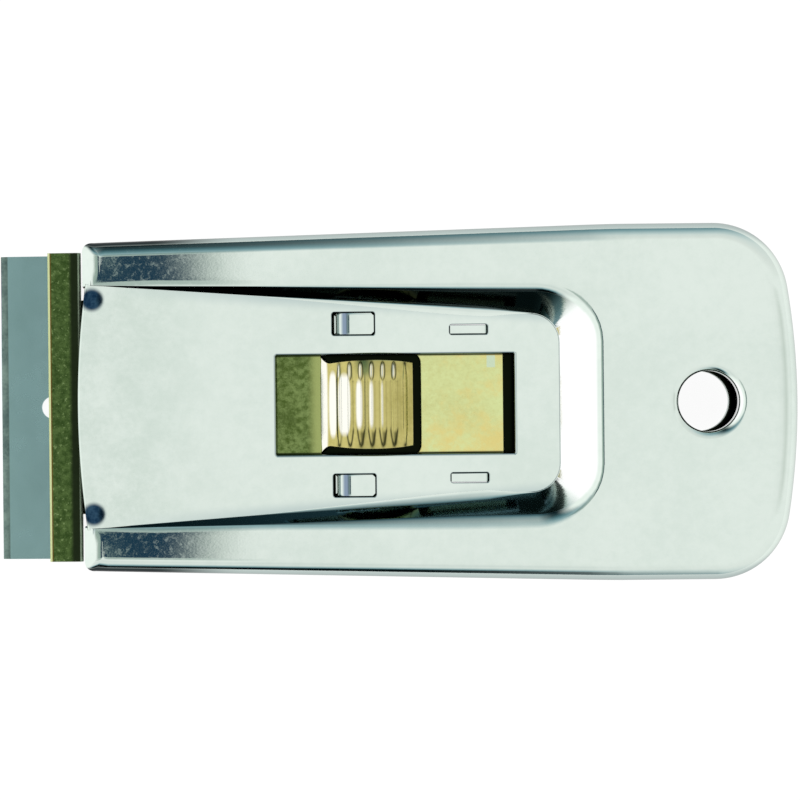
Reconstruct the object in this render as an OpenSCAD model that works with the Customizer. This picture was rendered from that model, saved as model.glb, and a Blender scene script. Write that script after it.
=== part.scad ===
// Razor blade scraper with a sliding blade carriage.
// The origin is on the hang hole axis, on the flat underside of the case.
// +X points to the rear end, the blade points to -X, and +Z is up.

/* [Blade] */
// Length of the cutting edge
blade_w = 38.1; // [30:0.1:60]
// Depth of the blade from its cutting edge to its back
blade_d = 9.5; // [8.6:0.1:9.6]
// Thickness of the blade
blade_t = 0.25; // [0.2:0.01:0.3]
// Depth of the ground bevel behind the cutting edge
bevel_d = 0.95; // [0.5:0.05:2]
// How far the blade stands out of its channel
blade_out = 6.1; // [6:0.1:7]
// Radius of the round hole in the blade
blade_hole_r = 1.4; // [0.8:0.1:2]
// Distance of that hole from the cutting edge
blade_hole_set = 6.5; // [4:0.1:7]

/* [Blade channel] */
// Depth of the folded channel from its open front to its fold
channel_d = 4.1; // [4.1:0.1:6]
// Sheet thickness of the channel
channel_t = 0.35; // [0.3:0.05:0.6]
// How far the channel passes each end of the blade
channel_over = 0.35; // [0.1:0.05:1]
// How far the open front of the channel stands in front of the panel
channel_out = 3.8; // [3:0.1:5]

/* [Carriage] */
// Sheet thickness of the carriage
carriage_t = 0.6; // [0.5:0.05:1]
// Forward tilt of the front half of the carriage
tilt = 2.8; // [1:0.1:4]
// Width of the head under the blade channel
head_w = 27; // [20:0.5:30]
// Length of the head
head_len = 19.5; // [14:0.5:20]
// How far the head reaches under the channel, from the open front of the channel
head_set = 1.9; // [1:0.1:3]
// Length of the plate behind the tab opening
tail_len = 10.35; // [6:0.05:11]
// Travel from the working position back into the case
travel_back = 12.4; // [11.5:0.1:14]
// Travel from the working position forward to change the blade
travel_forward = 5.3; // [4:0.1:7]

/* [Thumb tab] */
// Length of the tab along the travel
tab_len = 11.5; // [9:0.1:14]
// Greatest width of the tab
tab_w = 11.2; // [9:0.1:14]
// Height of the arched tab above the carriage plate
tab_rise = 2.85; // [2:0.05:3.5]
// Distance from the tab's root to the crown of the arch
tab_crown = 6.5; // [5.5:0.1:7]
// How much narrower the tab is at its free end, on each side
tab_barrel = 0.6; // [0.2:0.1:1]
// Number of grip ribs
rib_count = 7; // [3:1:7]
// Distance between two grip ribs
rib_pitch = 1.45; // [1.1:0.05:1.5]
// Radius of a rib's round section
rib_r = 0.45; // [0.3:0.05:0.5]
// Height of a rib above the arch
rib_h = 0.3; // [0.1:0.05:0.4]

/* [Case] */
// Length of the case from the tip of its panel to its rear end
case_len = 89.5; // [84:0.5:110]
// Height of the case at the rear
case_h = 8.5; // [7.5:0.1:12]
// Sheet thickness of the upper case
upper_t = 0.7; // [0.5:0.05:0.9]
// Sheet thickness of the lower case
lower_t = 0.9; // [0.6:0.05:1.2]
// How much wider the rear of the case is than its front
flare = 3; // [0:0.5:10]
// Corner radius of the rear end, seen from above
corner_r = 9.5; // [7:0.5:12]
// Rounding of the top edge at the rear
edge_r = 2.3; // [1.8:0.1:2.8]
// Rounding of the top edge at the front
nose_r = 1.2; // [0.9:0.1:1.4]
// How far the middle of the rear end stands out behind its corners
rear_bulge = 1; // [0:0.1:2]
// Distance from the hang hole axis to the place where the top begins to slope
ramp_back = 12; // [10:0.5:20]
// Height of the side bands above the panel at their front ends
nose_rise = 0.12; // [0.05:0.01:0.4]
// Height of the inner wall that stands up round the lower case
rim_h = 3; // [2:0.1:3.2]
// Distance of that wall's front ends from the tip of the panel
rim_back = 13.6; // [13:0.1:20]

/* [Panel] */
// Width of the sunken panel at its front
panel_front_w = 30.6; // [26:0.2:31]
// Width of the sunken panel at its rear corners
panel_rear_w = 22.4; // [18:0.2:24]
// Corner radius at the rear of the panel
panel_corner_r = 3.7; // [2:0.1:5]
// Angle of the walls round the panel
wall_angle = 51; // [45:1:60]
// How far the middle of the panel's front edge stands in front of its corners
panel_bulge = 1.5; // [0.5:0.1:3]
// How far the side bands end behind the panel's front edge
band_back = 0.7; // [0:0.1:2]
// Distance from the panel's front edge to the window
window_set = 24.7; // [22:0.1:28]
// Width of the window
window_w = 12.7; // [11.8:0.1:15]
// Panel left between the window and the rear end of the panel
rear_land = 5.6; // [4:0.1:8]
// Radius of the round dents in the panel's front corners
dent_r = 1.25; // [0.8:0.05:1.4]
// Depth of those dents
dent_h = 0.2; // [0.1:0.05:0.25]

/* [Ears] */
// Length of the slots for the wide ears
wide_len = 5.5; // [4:0.1:6.5]
// Width of the slots for the wide ears
wide_w = 3; // [2:0.1:3.2]
// Distance from the window's front end to the slots of the wide ears
wide_set = 7.1; // [6:0.1:9]
// Outer bend radius of the wide ears
wide_bend_r = 1.8; // [1.3:0.1:2]
// Length of the slots for the narrow ears
narrow_len = 4.9; // [3:0.1:5.5]
// Distance from the window's front end to the slots of the narrow ears
narrow_set = 21.8; // [18:0.1:24]
// Distance of the ears' inner faces from the middle
ear_y = 8.8; // [8.4:0.1:9]
// Chamfer on the free corners of the wide ears
ear_chamfer = 0.6; // [0.2:0.1:0.9]

/* [Hang hole] */
// Radius of the hang hole
hang_r = 3.75; // [2.5:0.05:4.5]
// Distance of its axis from the rear end
hang_set = 11.4; // [9:0.1:14]
// Depth of the rolled lip in each shell
lip_h = 1.6; // [1:0.1:2.5]

/* [Clearances] */
// Gap between the carriage and the sheets above and below it
slide_gap = 0.15; // [0.1:0.01:0.25]
// Gap between the carriage and its guides at the sides
guide_gap = 0.2; // [0.1:0.05:0.3]
// Gap between each end of the channel and the case
side_gap = 0.4; // [0.3:0.05:0.8]
// Gap between the two nested shells
nest_gap = 0.1; // [0.05:0.01:0.2]
// Gap round an ear in its slot
ear_gap = 0.2; // [0.1:0.05:0.3]
// Free room between the tab and each end of the window at the ends of its travel
stop_gap = 0.4; // [0.2:0.05:0.6]
// Gap between the tab and the sides of its opening
tab_gap = 0.5; // [0.3:0.05:0.7]
// Room for the blade in its channel above and below it
blade_gap = 0.035; // [0.02:0.005:0.05]

/* [Hidden] */

steel_colour = [0.83, 0.86, 0.84];
lower_colour = [0.72, 0.75, 0.74];
brass_colour = [0.72, 0.68, 0.36];
channel_colour = [0.42, 0.46, 0.24];
blade_colour = [0.52, 0.6, 0.62];

// Overrun of a cut past the faces that it opens
over = 1;
// Thickness of the slices that hulls are drawn between
slice = 0.01;
// Smallest rounding left inside a thick inset
least_r = 0.3;
// Sides of a circle on a hull's children, and on everything else
hull_sides = 32;
round_sides = 72;
arc_sides = 720;

// Places along X
rear_x = hang_set;
front_x = rear_x - case_len;
band_x = front_x + band_back;
ramp_x = -ramp_back;
window_len = tab_len + travel_back + travel_forward + 2 * stop_gap;
window_front_x = front_x + window_set;
window_rear_x = window_front_x + window_len;
panel_rear_x = window_rear_x + rear_land;
tab_x = window_front_x + stop_gap + travel_forward;
tab_tip_x = tab_x + tab_len;
opening_rear_x = tab_tip_x + 2 * tab_gap;
tail_x = opening_rear_x + tail_len;
channel_x = front_x - channel_out;
head_x = channel_x + head_set;
neck_x = head_x + head_len;
rim_x = front_x + rim_back;
floor_x = band_x + tab_gap;
wide_x = window_front_x + wide_set;
narrow_x = window_front_x + narrow_set;

// The plate bends down just in front of the tab's root
bend_set = 1.3;
bend_x = tab_x - bend_set;

// Heights
channel_h = 2 * channel_t + blade_t + 2 * blade_gap;
plate_drop = (bend_x - head_x) * tan(tilt);
plate_z = lower_t + slide_gap + plate_drop + carriage_t / cos(tilt);
panel_z = plate_z + slide_gap + upper_t;
nose_h = panel_z + nose_rise;

// Widths
channel_w = blade_w + 2 * channel_over;
nose_w = channel_w + 2 * side_gap + 2 * upper_t;
case_w = nose_w + flare;
stem_w = 2 * (ear_y - guide_gap);
opening_w = tab_w + 2 * tab_gap;
opening_r = 2.5 * tab_gap;
tray_inset = upper_t + nest_gap;

// Round post of the case outline with radius r, height h and a top edge rounded to radius e
module post(r, e, h, base) {
    rotate_extrude($fn = hull_sides) intersection() {
        union() {
            translate([0, base]) square([r, h - e - base]);
            translate([0, h - e]) square([r - e + slice, e]);
            translate([r - e, h - e]) circle(r = e, $fn = hull_sides);
        }
        translate([0, base]) square([r, h - base]);
    }
}

// The smooth wedge that the case is pressed to, moved inwards by a sheet thickness
module case_form(inset, base) {
    rear_e = max(edge_r - inset, least_r);
    front_e = max(nose_r - inset, least_r);
    front_y = nose_w / 2 - inset - front_e;
    ramp_y = case_w / 2 - inset - rear_e;
    hull() {
        for (share = [-1 : 0.25 : 1]) {
            translate([rear_x - corner_r - rear_bulge * pow(share, 2), share * (case_w / 2 - corner_r), 0])
                post(corner_r - inset, rear_e, case_h - inset, base);
        }
        for (side = [-1, 1]) {
            translate([ramp_x, side * ramp_y, 0]) post(rear_e, rear_e, case_h - inset, base);
            translate([band_x + inset + front_e, side * front_y, 0]) post(front_e, front_e, nose_h - inset, base);
        }
    }
}

// The hollow that the sunken panel and its sloping walls leave, made larger by a sheet thickness
module recess_form(sheet) {
    low_z = panel_z - sheet;
    low_grow = sheet * tan(wall_angle / 2);
    high_z = case_h + over;
    high_grow = low_grow + (high_z - low_z) / tan(wall_angle);
    hull() {
        for (level = [[low_z, low_grow], [high_z, high_grow]]) {
            for (side = [-1, 1]) {
                translate([panel_rear_x - panel_corner_r, side * (panel_rear_w / 2 - panel_corner_r), level[0]])
                    cylinder(r = panel_corner_r + level[1], h = slice, $fn = hull_sides);
            }
            translate([front_x - over, -panel_front_w / 2 - level[1], level[0]])
                cube([slice, panel_front_w + 2 * level[1], slice]);
        }
    }
}

// Front of the panel as a flat plate with a bowed front edge
module panel_nose() {
    bow_r = (pow(panel_front_w / 2, 2) + pow(panel_bulge, 2)) / (2 * panel_bulge);
    translate([0, 0, panel_z - upper_t]) linear_extrude(upper_t) intersection() {
        translate([front_x + bow_r, 0]) circle(r = bow_r, $fn = arc_sides);
        polygon([
            [front_x - over, -panel_front_w / 2],
            [window_front_x, -panel_rear_w / 2],
            [window_front_x, panel_rear_w / 2],
            [front_x - over, panel_front_w / 2]
        ]);
    }
}

// Slots in the panel for the ears of the lower case
module ear_slots() {
    narrow_w = lower_t + 2 * ear_gap;
    for (side = [-1, 1]) {
        translate([wide_x, side * (ear_y - ear_gap + wide_w / 2) - wide_w / 2, panel_z - upper_t - over])
            cube([wide_len, wide_w, upper_t + 2 * over]);
        translate([narrow_x, side * (ear_y - ear_gap + narrow_w / 2) - narrow_w / 2, panel_z - upper_t - over])
            cube([narrow_len, narrow_w, upper_t + 2 * over]);
    }
}

// Places of the two round dents in the panel's front corners
module at_dents() {
    dent_x = front_x + panel_bulge + dent_r / 3;
    dent_y = panel_front_w / 2 - 1.3 * dent_r;
    for (side = [-1, 1]) translate([dent_x, side * dent_y, 0]) children();
}

module upper_case() {
    dent_ball_r = (pow(dent_r, 2) + pow(dent_h, 2)) / (2 * dent_h);
    color(steel_colour) difference() {
        union() {
            difference() {
                case_form(0, 0);
                case_form(upper_t, -over);
                translate([band_x - over, -nose_w / 2 + upper_t, -over])
                    cube([over + upper_t + nose_r, nose_w - 2 * upper_t, nose_h - upper_t + over]);
            }
            intersection() {
                case_form(0, 0);
                recess_form(upper_t);
            }
            panel_nose();
            translate([0, 0, case_h - lip_h]) cylinder(r = hang_r + upper_t, h = lip_h - slice, $fn = round_sides);
        }
        recess_form(0);
        translate([window_front_x, -window_w / 2, panel_z - upper_t - over])
            cube([window_len, window_w, upper_t + 2 * over]);
        ear_slots();
        at_dents() translate([0, 0, panel_z + dent_ball_r - dent_h]) sphere(r = dent_ball_r, $fn = round_sides);
        translate([0, 0, -over]) cylinder(r = hang_r, h = case_h + 2 * over, $fn = round_sides);
    }
}

// Side view of a wide ear: it stands on the floor and is bent back flush with the panel
module wide_ear_side() {
    top_z = panel_z - nest_gap / 2;
    root_x = wide_x + ear_gap + nest_gap;
    tip_x = wide_x + wide_len - ear_gap;
    translate([root_x, 0]) square([lower_t, top_z - wide_bend_r]);
    translate([root_x + wide_bend_r, top_z - wide_bend_r]) intersection() {
        difference() {
            circle(r = wide_bend_r, $fn = round_sides);
            circle(r = wide_bend_r - lower_t, $fn = round_sides);
        }
        translate([-wide_bend_r, 0]) square([wide_bend_r, wide_bend_r]);
    }
    translate([root_x + wide_bend_r, top_z - lower_t]) square([tip_x - root_x - wide_bend_r, lower_t]);
}

// Plan of a wide ear, with its two free corners cut off
module wide_ear_plan() {
    ear_w = wide_w - 2 * ear_gap;
    tip_x = wide_x + wide_len - ear_gap;
    polygon([
        [wide_x, -ear_w / 2],
        [tip_x - ear_chamfer, -ear_w / 2],
        [tip_x, -ear_w / 2 + ear_chamfer],
        [tip_x, ear_w / 2 - ear_chamfer],
        [tip_x - ear_chamfer, ear_w / 2],
        [wide_x, ear_w / 2]
    ]);
}

module ears() {
    ear_w = wide_w - 2 * ear_gap;
    for (side = [-1, 1]) {
        translate([0, side * (ear_y + ear_w / 2), 0]) intersection() {
            rotate([90, 0, 0]) linear_extrude(ear_w, center = true) wide_ear_side();
            linear_extrude(panel_z) wide_ear_plan();
        }
        translate([narrow_x + ear_gap, side * (ear_y + lower_t / 2) - lower_t / 2, 0])
            cube([narrow_len - 2 * ear_gap, lower_t, panel_z]);
    }
}

// Holes in the floor, left where the ears were cut and bent up
module ear_blanks() {
    wide_blank = wide_len + panel_z - wide_bend_r;
    narrow_blank = panel_z - lower_t;
    blank_w = wide_w - 2 * ear_gap;
    for (side = [-1, 1]) {
        translate([wide_x + ear_gap + nest_gap - wide_blank, side * (ear_y + blank_w / 2) - blank_w / 2, -over])
            cube([wide_blank, blank_w, lower_t + 2 * over]);
        translate([
            narrow_x + ear_gap,
            side * (ear_y + lower_t + narrow_blank / 2) - narrow_blank / 2,
            -over
        ]) cube([narrow_len - 2 * ear_gap, narrow_blank, lower_t + 2 * over]);
    }
}

module lower_case() {
    color(lower_colour) difference() {
        union() {
            difference() {
                case_form(tray_inset, 0);
                case_form(tray_inset + lower_t, lower_t);
                translate([front_x, -case_w / 2, rim_h]) cube([case_len, case_w, case_h]);
                translate([front_x, -case_w / 2, lower_t]) cube([rim_x - front_x, case_w, case_h]);
                translate([front_x - over, -case_w / 2, -over]) cube([floor_x - front_x + over, case_w, case_h]);
                ear_blanks();
            }
            ears();
            cylinder(r = hang_r + lower_t, h = lip_h, $fn = round_sides);
        }
        translate([0, 0, -over]) cylinder(r = hang_r, h = case_h + 2 * over, $fn = round_sides);
    }
}

// Side view of the carriage plate, bent down in front of the tab
module carriage_side() {
    front_top_z = plate_z - plate_drop;
    polygon([
        [tail_x, plate_z],
        [bend_x, plate_z],
        [head_x, front_top_z],
        [head_x, front_top_z - carriage_t / cos(tilt)],
        [bend_x + carriage_t * tan(tilt / 2), plate_z - carriage_t],
        [tail_x, plate_z - carriage_t]
    ]);
}

// Plan of the carriage: a wide head, then a stem that runs between the ears
module carriage_plan() {
    trim = carriage_t;
    half = [
        [head_x, head_w / 2 - trim],
        [head_x + trim, head_w / 2],
        [neck_x - trim, head_w / 2],
        [neck_x, head_w / 2 - trim],
        [neck_x, stem_w / 2],
        [tail_x - trim, stem_w / 2],
        [tail_x, stem_w / 2 - trim]
    ];
    last = len(half) - 1;
    polygon(concat(half, [for (i = [last : -1 : 0]) [half[i][0], -half[i][1]]]));
}

// The opening that the tab is raised out of, with round rear corners
module tab_opening() {
    opening_len = opening_rear_x - tab_x;
    translate([tab_x, -opening_w / 2]) square([opening_len - opening_r, opening_w]);
    translate([tab_x, -opening_w / 2 + opening_r]) square([opening_len, opening_w - 2 * opening_r]);
    for (side = [-1, 1]) {
        translate([opening_rear_x - opening_r, side * (opening_w / 2 - opening_r)])
            circle(r = opening_r, $fn = round_sides);
    }
}

module carriage() {
    color(brass_colour) difference() {
        intersection() {
            rotate([90, 0, 0]) linear_extrude(head_w, center = true) carriage_side();
            linear_extrude(case_h) carriage_plan();
        }
        translate([0, 0, -over]) linear_extrude(case_h) tab_opening();
    }
}

// Radius and centre of the arch over the tab
arch_r = (pow(tab_crown, 2) + pow(tab_rise, 2)) / (2 * tab_rise);
arch_x = tab_x + tab_crown;
arch_z = plate_z + tab_rise - arch_r;

module tab_side() {
    intersection() {
        translate([arch_x, arch_z]) difference() {
            circle(r = arch_r, $fn = arc_sides);
            circle(r = arch_r - carriage_t, $fn = arc_sides);
        }
        translate([tab_x, plate_z - carriage_t]) square([tab_len, tab_rise + 2 * carriage_t]);
    }
}

// Plan of the tab: barrel shaped, narrower at both ends
module tab_plan() {
    half_len = max(tab_crown, tab_len - tab_crown);
    side_r = (pow(half_len, 2) + pow(tab_barrel, 2)) / (2 * tab_barrel);
    intersection() {
        translate([tab_x, -tab_w / 2]) square([tab_len, tab_w]);
        translate([arch_x, tab_w / 2 - side_r]) circle(r = side_r, $fn = arc_sides);
        translate([arch_x, side_r - tab_w / 2]) circle(r = side_r, $fn = arc_sides);
    }
}

// Grip ribs across the arch, evenly spaced along the tab
module ribs() {
    first_x = tab_x + (tab_len - (rib_count - 1) * rib_pitch) / 2;
    rib_len = tab_w - 2 * tab_barrel - 2 * rib_r;
    for (i = [0 : rib_count - 1]) {
        x = first_x + i * rib_pitch;
        centre_r = arch_r + rib_h - rib_r;
        z = arch_z + sqrt(pow(centre_r, 2) - pow(x - arch_x, 2));
        translate([x, 0, z]) rotate([90, 0, 0]) cylinder(r = rib_r, h = rib_len, center = true, $fn = round_sides);
    }
}

module thumb_tab() {
    color(brass_colour) {
        intersection() {
            rotate([90, 0, 0]) linear_extrude(tab_w, center = true) tab_side();
            linear_extrude(case_h + tab_rise) tab_plan();
        }
        ribs();
    }
}

// Places children on the tilted front of the carriage plate, measured from the bend line
module on_front() {
    translate([bend_x, 0, plate_z]) rotate([0, -tilt, 0]) children();
}

// Distance along the tilted plate from the bend line to the channel's open front
channel_run = (bend_x - channel_x) / cos(tilt);

module channel_side() {
    fold_r = channel_h / 2;
    difference() {
        union() {
            translate([-channel_run, 0]) square([channel_d - fold_r, channel_h]);
            translate([channel_d - fold_r - channel_run, fold_r]) circle(r = fold_r, $fn = round_sides);
        }
        translate([-channel_run - over, channel_t])
            square([channel_d - fold_r + over, channel_h - 2 * channel_t]);
        translate([channel_d - fold_r - channel_run, fold_r])
            circle(r = fold_r - channel_t, $fn = round_sides);
    }
}

module blade_channel() {
    color(channel_colour) on_front() rotate([90, 0, 0])
        linear_extrude(channel_w, center = true) channel_side();
}

// Side view of the blade: a flat strip ground to an edge from both faces
module blade_side() {
    edge_x = -channel_run - blade_out;
    middle_z = channel_h / 2;
    polygon([
        [edge_x, middle_z],
        [edge_x + bevel_d, middle_z + blade_t / 2],
        [edge_x + blade_d, middle_z + blade_t / 2],
        [edge_x + blade_d, middle_z - blade_t / 2],
        [edge_x + bevel_d, middle_z - blade_t / 2]
    ]);
}

module blade() {
    hole_x = blade_hole_set - channel_run - blade_out;
    color(blade_colour) on_front() difference() {
        rotate([90, 0, 0]) linear_extrude(blade_w, center = true) blade_side();
        translate([hole_x, 0, -over]) cylinder(r = blade_hole_r, h = channel_h + 2 * over, $fn = round_sides);
    }
}

upper_case();
lower_case();
carriage();
thumb_tab();
blade_channel();
blade();
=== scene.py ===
import math

import bmesh
import bpy
from mathutils import Matrix, Vector


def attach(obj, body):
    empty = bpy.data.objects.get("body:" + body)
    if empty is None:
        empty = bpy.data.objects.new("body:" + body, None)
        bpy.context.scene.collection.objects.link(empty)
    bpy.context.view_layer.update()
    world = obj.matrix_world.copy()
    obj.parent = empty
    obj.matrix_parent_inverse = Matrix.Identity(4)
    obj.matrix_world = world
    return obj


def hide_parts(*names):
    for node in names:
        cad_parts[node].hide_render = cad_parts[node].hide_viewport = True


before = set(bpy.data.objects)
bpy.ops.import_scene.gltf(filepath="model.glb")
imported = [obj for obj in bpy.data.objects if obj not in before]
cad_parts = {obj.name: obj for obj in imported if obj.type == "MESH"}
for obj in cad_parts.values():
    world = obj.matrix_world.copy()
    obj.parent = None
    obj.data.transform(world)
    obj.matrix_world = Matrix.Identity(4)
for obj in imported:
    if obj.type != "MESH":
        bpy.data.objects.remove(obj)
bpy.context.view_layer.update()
print("frame loaded:", len(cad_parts), "nodes")

mm = 0.001
weld = 1e-7  # metres; vertices closer than this are one
up = Vector((0, 0, 1))


# shared modelling steps

def addRing(bm, layers, samples, z=0.0):
    # a closed ring of edges; each sample is a place in mm and what its vertex carries
    verts = []
    for sample in samples:
        vert = bm.verts.new((sample["x"] * mm, sample["y"] * mm, z * mm))
        for name, layer in layers.items():
            vert[layer] = sample.get(name, 0.0)
        verts.append(vert)
    return [bm.edges.new(pair) for pair in zip(verts, verts[1:] + verts[:1])]


def only(items, kind):
    return [item for item in items if isinstance(item, kind)]


def extrude(bm, edges):
    # gives the new vertices and the new open edges
    made = bmesh.ops.extrude_edge_only(bm, edges=edges)["geom"]
    fresh = set(only(made, bmesh.types.BMVert))
    return fresh, [edge for edge in only(made, bmesh.types.BMEdge) if set(edge.verts) <= fresh]


def sweep(bm, edges, placeVert, steps):
    # extrudes the edges step by step, and placeVert says where each new vertex goes
    for step in range(1, steps + 1):
        fresh, edges = extrude(bm, edges)
        for vert in fresh:
            vert.co = placeVert(vert, step)
    return edges


def fill(bm, edges):
    return bmesh.ops.triangle_fill(bm, use_beauty=True, use_dissolve=False, edges=edges)["geom"]


def floatLayers(bm, *names):
    return {name: bm.verts.layers.float.new(name) for name in names}


def openEdges(bm):
    return [edge for edge in bm.edges if edge.is_boundary]


def cutAcross(bm, axis, stations, geometry=None):
    # splits the faces on planes across an axis, so that they can bend there
    normal = Vector((axis == 0, axis == 1, axis == 2))
    for station in stations:
        everything = geometry() if geometry else list(bm.verts) + list(bm.edges) + list(bm.faces)
        bmesh.ops.bisect_plane(bm, geom=everything, dist=weld, plane_co=normal * station * mm, plane_no=normal)


def atRest(samples):
    # the same places without a direction, for a ring that isn't swept
    return [{"x": sample["x"], "y": sample["y"]} for sample in samples]


def arc(cx, cy, radius, start, end, count):
    # places on an arc with the direction that points away from its centre
    places = []
    for i in range(count + 1):
        angle = math.radians(start + (end - start) * i / count)
        ox, oy = math.cos(angle), math.sin(angle)
        places.append({"x": cx + radius * ox, "y": cy + radius * oy, "ox": ox, "oy": oy})
    return places


def roundedBox(x0, x1, y0, y1, radius, count=5):
    return (
        arc(x1 - radius, y1 - radius, radius, 90, 0, count)
        + arc(x1 - radius, y0 + radius, radius, 0, -90, count)
        + arc(x0 + radius, y0 + radius, radius, -90, -180, count)
        + arc(x0 + radius, y1 - radius, radius, 180, 90, count)
    )


def boxBeside(side, spanX, spanY, radius, count=5):
    # a rounded box on one side of the middle line
    low, high = sorted((side * spanY[0], side * spanY[1]))
    return roundedBox(*spanX, low, high, radius, count)


def inward(samples):
    # turns the carried directions round, for the edge of a hole
    return [{**sample, "ox": -sample["ox"], "oy": -sample["oy"]} for sample in samples]


def mirrored(samples):
    flipped = ("y", "oy", "iy", "fy", "by")
    turned = [{name: -value if name in flipped else value for name, value in sample.items()} for sample in samples]
    return turned[::-1]


def pullIn(sample, edge):
    # moves a place inward by the rounding of its edge, where the sweep of the border starts
    size = math.hypot(sample["ox"], sample["oy"])
    sample["ox"], sample["oy"] = sample["ox"] / size, sample["oy"] / size
    sample["x"] -= sample["ox"] * edge
    sample["y"] -= sample["oy"] * edge
    sample["bx"], sample["by"] = sample["x"], sample["y"]


def onRounding(vert, layers, radius, step, steps):
    # the place on a rounded border at one step, and how far it has left the level of the sheet
    turn = math.pi / 2 * min(step, steps) / steps
    x = vert[layers["bx"]] + vert[layers["ox"]] * radius * math.sin(turn)
    y = vert[layers["by"]] + vert[layers["oy"]] * radius * math.sin(turn)
    return x, y, radius * (1 - math.cos(turn))


def creaseFlats(mesh):
    # keeps a level face flat up to its border, so that long triangles there don't shade unevenly
    level, leaning = set(), set()
    for face in mesh.polygons:
        if abs(face.normal.z) > 0.9999:
            level.update(face.edge_keys)
        elif 0.2 < abs(face.normal.z) < 0.998:
            leaning.update(face.edge_keys)
    for edge in mesh.edges:
        if edge.key in level and edge.key in leaning:
            edge.use_edge_sharp = True


def makeObject(bm, name, material):
    mesh = bpy.data.meshes.new(name)
    bm.to_mesh(mesh)
    bm.free()
    mesh.materials.append(material)
    made = bpy.data.objects.new(name, mesh)
    bpy.context.scene.collection.objects.link(made)
    return made


def makePiece(bm, name, material, body, slotName, replaced=(), sharpAt=40, sheet=0.0, edgeRound=0.0, crease=False):
    bmesh.ops.remove_doubles(bm, verts=bm.verts, dist=weld)
    bmesh.ops.recalc_face_normals(bm, faces=bm.faces)
    piece = makeObject(bm, name, material)
    mesh = piece.data
    mesh.shade_smooth()
    mesh.set_sharp_from_angle(angle=math.radians(sharpAt))
    if crease:
        creaseFlats(mesh)
    if sheet:
        shell = piece.modifiers.new("sheet", "SOLIDIFY")
        shell.thickness = sheet * mm
        shell.offset = -1
        shell.use_even_offset = True
    if edgeRound:
        bevel = piece.modifiers.new("edges", "BEVEL")
        bevel.width = edgeRound * mm
        bevel.segments = 2
        bevel.limit_method = "ANGLE"
        bevel.angle_limit = math.radians(50)
    weighted = piece.modifiers.new("flats", "WEIGHTED_NORMAL")
    weighted.keep_sharp = True
    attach(piece, body)
    if replaced:
        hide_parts(*replaced)
    print("made", name, len(mesh.polygons), "faces")
    return piece


# finishes

def feed(tree, socket, value):
    # links another socket, or sets a plain value
    if isinstance(value, bpy.types.NodeSocket):
        tree.links.new(value, socket)
    else:
        socket.default_value = (*value, 1) if socket.type == "RGBA" else value


def feedAll(tree, node, values):
    for key, value in values.items():
        feed(tree, node.inputs[key], value)


def add(tree, kind, values, **settings):
    # a new node with its settings, and what its sockets get
    node = tree.nodes.new("ShaderNode" + kind)
    for name, value in settings.items():
        setattr(node, name, value)
    feedAll(tree, node, values)
    return node


def compute(tree, operation, *values, clamp=False):
    return add(tree, "Math", dict(enumerate(values)), operation=operation, use_clamp=clamp).outputs[0]


def times(tree, *factors):
    product = factors[0]
    for factor in factors[1:]:
        product = compute(tree, "MULTIPLY", product, factor)
    return product


def mixColour(tree, factor, first, second, blend="MIX"):
    return add(tree, "Mix", {0: factor, 6: first, 7: second}, data_type="RGBA", blend_type=blend).outputs[2]


def coats(tree, colour, *layers):
    # lays colours over each other, each through its own mask
    for mask, over in layers:
        colour = mixColour(tree, mask, colour, over)
    return colour


def spread(tree, value, fromLow, fromHigh, toLow=0.0, toHigh=1.0, kind="SMOOTHSTEP"):
    values = {"Value": value, "From Min": fromLow, "From Max": fromHigh, "To Min": toLow, "To Max": toHigh}
    return add(tree, "MapRange", values, interpolation_type=kind).outputs[0]


def noise(tree, vector, scale, detail, roughness=0.5):
    values = {"Vector": vector, "Scale": scale, "Detail": detail, "Roughness": roughness}
    return add(tree, "TexNoise", values).outputs["Fac"]


def objectCoords(tree):
    return add(tree, "TexCoord", {}).outputs["Object"]


def surfaceNormal(tree):
    return add(tree, "NewGeometry", {}).outputs["Normal"]


def part(tree, vector, axis):
    return add(tree, "SeparateXYZ", {0: vector}).outputs[axis]


def makeGroup(name, inputs, output):
    # a shader group with one number out; gives its input sockets and the socket for the result
    group = bpy.data.node_groups.new(name, "ShaderNodeTree")
    for label, value in inputs.items():
        kind = "NodeSocketVector" if isinstance(value, tuple) else "NodeSocketFloat"
        group.interface.new_socket(label, in_out="INPUT", socket_type=kind).default_value = value
    group.interface.new_socket(output, in_out="OUTPUT", socket_type="NodeSocketFloat")
    given, result = group.nodes.new("NodeGroupInput"), group.nodes.new("NodeGroupOutput")
    return group, given.outputs, result.inputs[0]


def makeGrain():
    # fine lines of a rolled sheet: dense across one axis and long along the other
    group, given, result = makeGroup("rolledGrain", {"Vector": (0, 0, 0), "Across": (9000, 350, 350)}, "Lines")
    stretched = add(group, "VectorMath", {0: given["Vector"], 1: given["Across"]}, operation="MULTIPLY").outputs[0]
    feed(group, result, noise(group, stretched, 1.0, 3.0))
    return group


def makeMottle():
    # two sizes of cloud laid over each other
    inputs = {"Vector": (0, 0, 0), "Size": 300.0, "Fine Size": 2400.0, "Low": 0.35, "High": 0.65}
    group, given, result = makeGroup("mottle", inputs, "Mask")
    broad = noise(group, given["Vector"], given["Size"], 4.0)
    fine = noise(group, given["Vector"], given["Fine Size"], 6.0, 0.7)
    blend = add(group, "Mix", {0: 0.45, 2: broad, 3: fine}, data_type="FLOAT").outputs[0]
    feed(group, result, spread(group, blend, given["Low"], given["High"]))
    return group


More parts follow.
